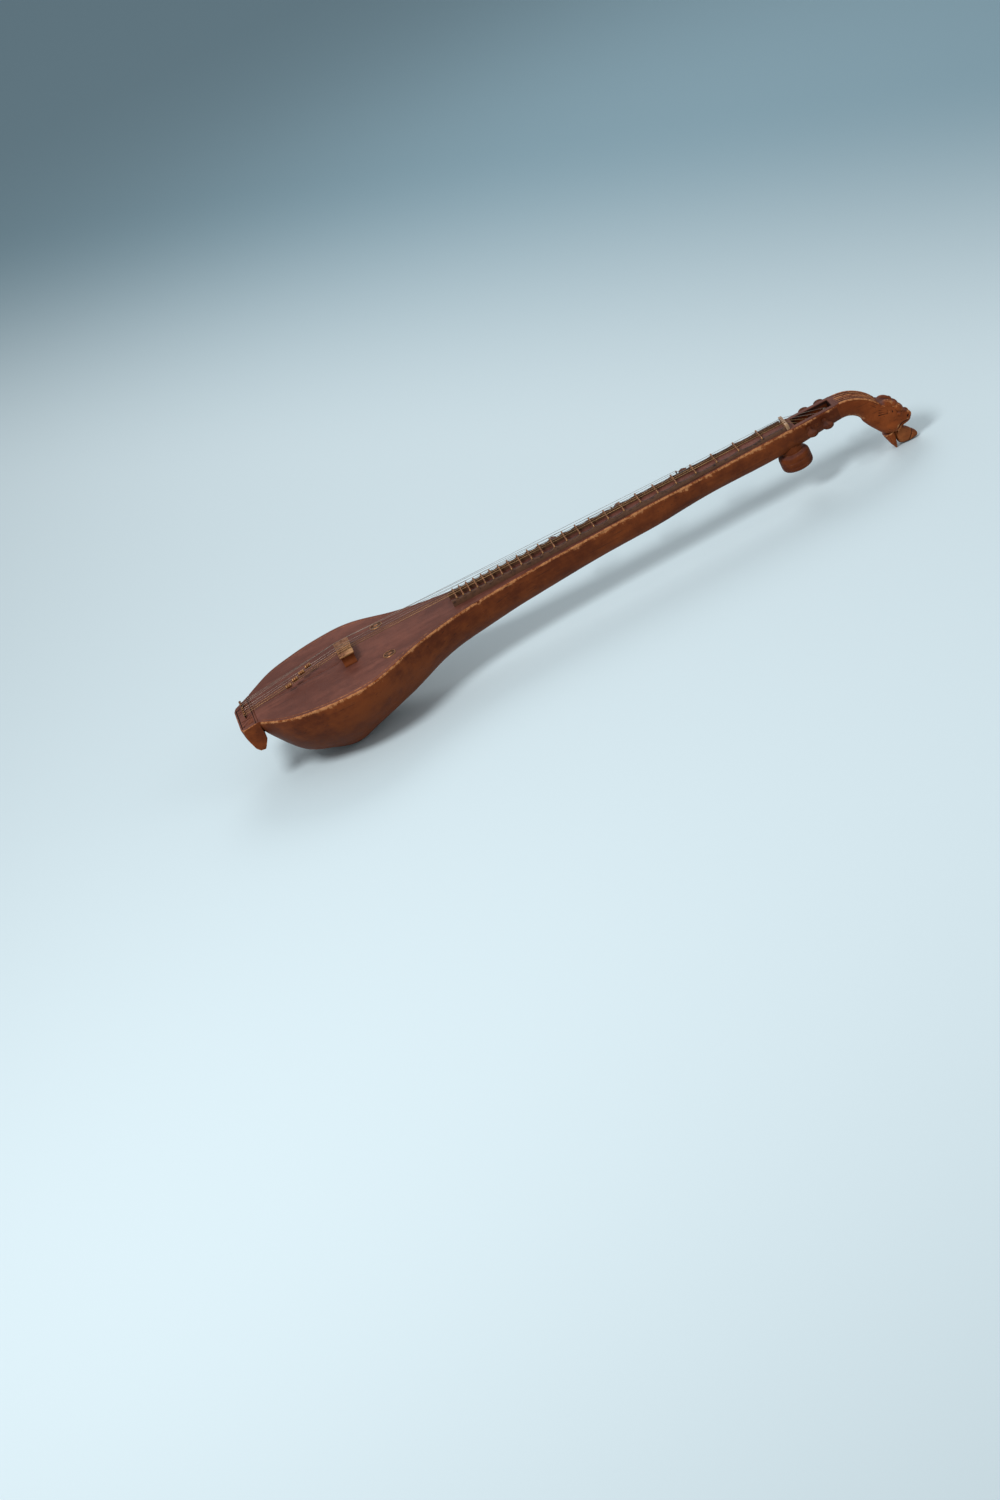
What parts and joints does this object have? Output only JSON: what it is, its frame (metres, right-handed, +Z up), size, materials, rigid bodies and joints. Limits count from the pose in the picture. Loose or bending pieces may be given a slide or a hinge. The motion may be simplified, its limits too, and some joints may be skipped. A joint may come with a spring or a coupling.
{
  "type": "veena",
  "caption": "Long-necked plucked lute with a deep carved bowl, fretted neck, side drone strings, small upper resonator and a beast-head scroll.",
  "frame": {"origin": "middle of the small flat under the bowl, on the surface the instrument lies on", "axes": "+X along the strings from the tail to the beast head, +Y to the drone string side, +Z up out of the soundboard"},
  "size_m": [1.3048, 0.282, 0.1591],
  "materials": {
    "body_wood": "reddish-brown carved jackwood, satin, rubbed bright along the edges",
    "board_wood": "darker purple-brown board, matte",
    "carved_wood": "carved reddish-brown wood, dark in its recesses",
    "inner_wood": "raw wood inside the body",
    "bridge_wood": "dark hardwood, oiled",
    "gourd_wood": "turned reddish-brown resonator, satin",
    "peg_wood": "turned dark hardwood, worn on its grips",
    "aged_brass": "old brass, brown in its corners",
    "fret_brass": "old brass rod, bright where it is played",
    "fret_wax": "black wax ledge, dull",
    "nut_horn": "brown horn, satin",
    "eye_inlay": "dark carved eye",
    "bronze_string": "bronze wire",
    "steel_string": "dull steel wire",
    "steel": "plain steel stud"
  },
  "bodies": {
    "instrument": {"bowl": "body_wood", "soundboard": "board_wood", "soundboard_braces": "inner_wood", "sound_rosettes": "aged_brass", "tail_block": "carved_wood", "string_pins": "aged_brass", "bridge": "bridge_wood", "bridge_plate": "aged_brass", "drone_bridge": "aged_brass", "neck": "body_wood", "fingerboard": "board_wood", "fret_ledge_near": "fret_wax", "fret_ledge_far": "fret_wax", "frets": "fret_brass", "nut": "nut_horn", "drone_posts": "aged_brass", "peg_box": "body_wood", "peg_blocks": "inner_wood", "resonator_collar": "gourd_wood", "upper_resonator": "gourd_wood", "resonator_cover": "gourd_wood", "resonator_stud": "steel", "scroll": "carved_wood", "beast_head": "carved_wood", "beast_jaw": "carved_wood", "beast_tongue": "carved_wood", "beast_ears": "carved_wood", "beast_eyes": "eye_inlay", "main_string_1": "bronze_string", "main_string_2": "bronze_string", "main_string_3": "steel_string", "main_string_4": "steel_string", "drone_string_1": "steel_string", "drone_string_2": "steel_string", "drone_string_3": "steel_string"},
    "tuning_peg_1": {"main_peg_1": "peg_wood", "main_winding_1": "bronze_string"},
    "tuning_peg_2": {"main_peg_2": "peg_wood", "main_winding_2": "bronze_string"},
    "tuning_peg_3": {"main_peg_3": "peg_wood", "main_winding_3": "steel_string"},
    "tuning_peg_4": {"main_peg_4": "peg_wood", "main_winding_4": "steel_string"},
    "drone_tuning_peg_1": {"drone_peg_1": "peg_wood", "drone_winding_1": "steel_string"},
    "drone_tuning_peg_2": {"drone_peg_2": "peg_wood", "drone_winding_2": "steel_string"},
    "drone_tuning_peg_3": {"drone_peg_3": "peg_wood", "drone_winding_3": "steel_string"},
    "tuning_bead_1": {"fine_tuner_1": "aged_brass"},
    "tuning_bead_2": {"fine_tuner_2": "aged_brass"},
    "tuning_bead_3": {"fine_tuner_3": "aged_brass"},
    "tuning_bead_4": {"fine_tuner_4": "aged_brass"}
  },
  "joints": [
    {"name": "tuning_peg_1_turn", "type": "hinge", "parent": "instrument", "child": "tuning_peg_1", "pos_m": [0.957, 0, 0.121], "axis": [0, 1, 0], "continuous": true},
    {"name": "tuning_peg_2_turn", "type": "hinge", "parent": "instrument", "child": "tuning_peg_2", "pos_m": [0.972, 0, 0.121], "axis": [0, 1, 0], "continuous": true},
    {"name": "tuning_peg_3_turn", "type": "hinge", "parent": "instrument", "child": "tuning_peg_3", "pos_m": [0.987, 0, 0.121], "axis": [0, 1, 0], "continuous": true},
    {"name": "tuning_peg_4_turn", "type": "hinge", "parent": "instrument", "child": "tuning_peg_4", "pos_m": [1.002, 0, 0.121], "axis": [0, 1, 0], "continuous": true},
    {"name": "drone_peg_1_turn", "type": "hinge", "parent": "instrument", "child": "drone_tuning_peg_1", "pos_m": [0.475, 0, 0.123], "axis": [0, 1, 0], "continuous": true},
    {"name": "drone_peg_2_turn", "type": "hinge", "parent": "instrument", "child": "drone_tuning_peg_2", "pos_m": [0.605, 0, 0.123], "axis": [0, 1, 0], "continuous": true},
    {"name": "drone_peg_3_turn", "type": "hinge", "parent": "instrument", "child": "drone_tuning_peg_3", "pos_m": [0.735, 0, 0.123], "axis": [0, 1, 0], "continuous": true},
    {"name": "tuning_bead_1_slide", "type": "slide", "parent": "instrument", "child": "tuning_bead_1", "axis": [0.9946, 0, 0.1033], "range_m": [-0.012, 0.012]},
    {"name": "tuning_bead_2_slide", "type": "slide", "parent": "instrument", "child": "tuning_bead_2", "axis": [0.9947, 0, 0.1028], "range_m": [-0.012, 0.012]},
    {"name": "tuning_bead_3_slide", "type": "slide", "parent": "instrument", "child": "tuning_bead_3", "axis": [0.9948, 0, 0.1023], "range_m": [-0.012, 0.012]},
    {"name": "tuning_bead_4_slide", "type": "slide", "parent": "instrument", "child": "tuning_bead_4", "axis": [0.9948, 0, 0.1021], "range_m": [-0.012, 0.012]}
  ]
}
